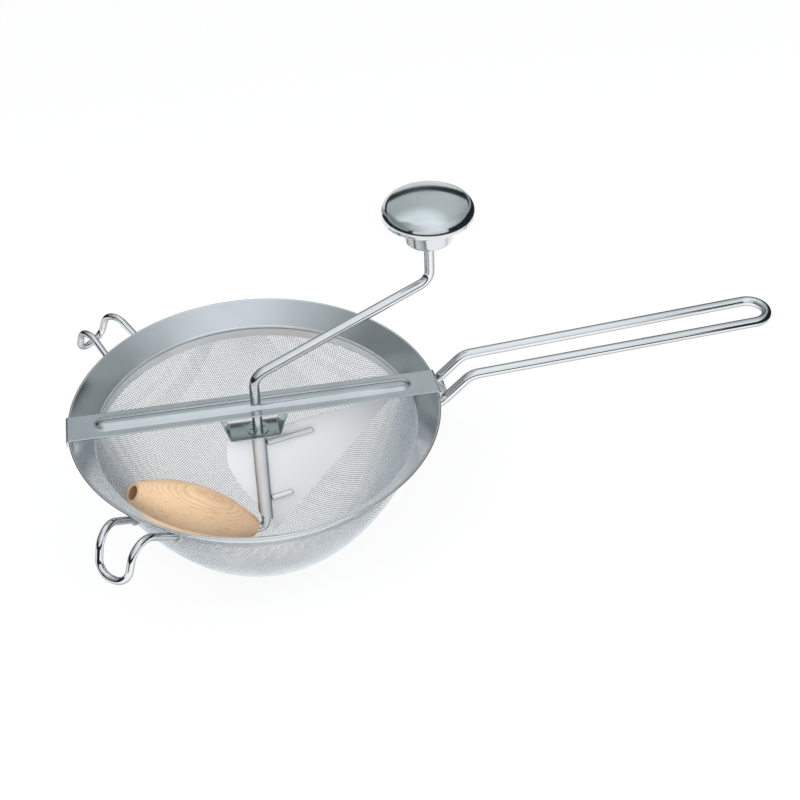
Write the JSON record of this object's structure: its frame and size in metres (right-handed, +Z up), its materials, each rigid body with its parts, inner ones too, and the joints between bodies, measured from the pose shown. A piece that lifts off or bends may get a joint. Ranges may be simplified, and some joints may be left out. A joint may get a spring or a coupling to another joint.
{
  "type": "tomato strainer with crank",
  "caption": "Hand-cranked tomato strainer: mesh bowl in a steel collar with wire handle and rest hooks, crossbar, domed knob crank, blade and wooden roller.",
  "frame": {"origin": "centre of the rim circle at the rim's upper edge, on the crank shaft's axis", "axes": "+Z up along the crank shaft, +X along the crossbar towards the handle"},
  "size_m": [0.3935, 0.204, 0.2039],
  "materials": {
    "sheet_steel": "satin stainless sheet",
    "blade_steel": "fine satin stainless sheet",
    "wire_steel": "polished stainless wire",
    "wire_mesh": "woven stainless wire",
    "weld_steel": "cleaned weld",
    "knob_steel": "softly polished stainless sheet",
    "bush_brass": "turned brass",
    "beech": "fine-sanded, unvarnished beech"
  },
  "bodies": {
    "strainer": {"rim_collar": "sheet_steel", "clamp_band": "sheet_steel", "mesh_bowl": "wire_mesh", "crossbar": "sheet_steel", "bearing_bracket": "sheet_steel", "handle_loop": "wire_steel", "handle_welds": "weld_steel", "rest_hook_front": "wire_steel", "rest_hook_back": "wire_steel", "hook_welds": "weld_steel"},
    "crank": {"crank_rod": "wire_steel", "retaining_washer": "sheet_steel", "blade_sleeve": "blade_steel", "blade_wing_long": "blade_steel", "blade_wing_short": "blade_steel", "stir_pin_upper": "wire_steel", "stir_pin_lower": "wire_steel", "roller_foot_washer": "sheet_steel", "roller_end_nut": "sheet_steel", "knob_push_nut": "sheet_steel"},
    "knob": {"knob_shell": "knob_steel", "knob_cup": "knob_steel", "knob_bush": "bush_brass"},
    "roller": {"roller": "beech"}
  },
  "joints": [
    {"name": "crank_turn", "type": "hinge", "parent": "strainer", "child": "crank", "pos_m": [0, 0, 0], "axis": [0, 0, 1], "continuous": true},
    {"name": "knob_spin", "type": "hinge", "parent": "crank", "child": "knob", "pos_m": [0.10036, 0.02133, 0.05373], "axis": [-0.0427, -0.0091, 0.999], "continuous": true},
    {"name": "roller_spin", "type": "hinge", "parent": "crank", "child": "roller", "pos_m": [0, 0, -0.0962], "axis": [-0.758, -0.1611, 0.632], "continuous": true}
  ],
  "couplings": [
    {"joint": "roller_spin", "follows": "crank_turn", "ratio": -3.6457}
  ]
}
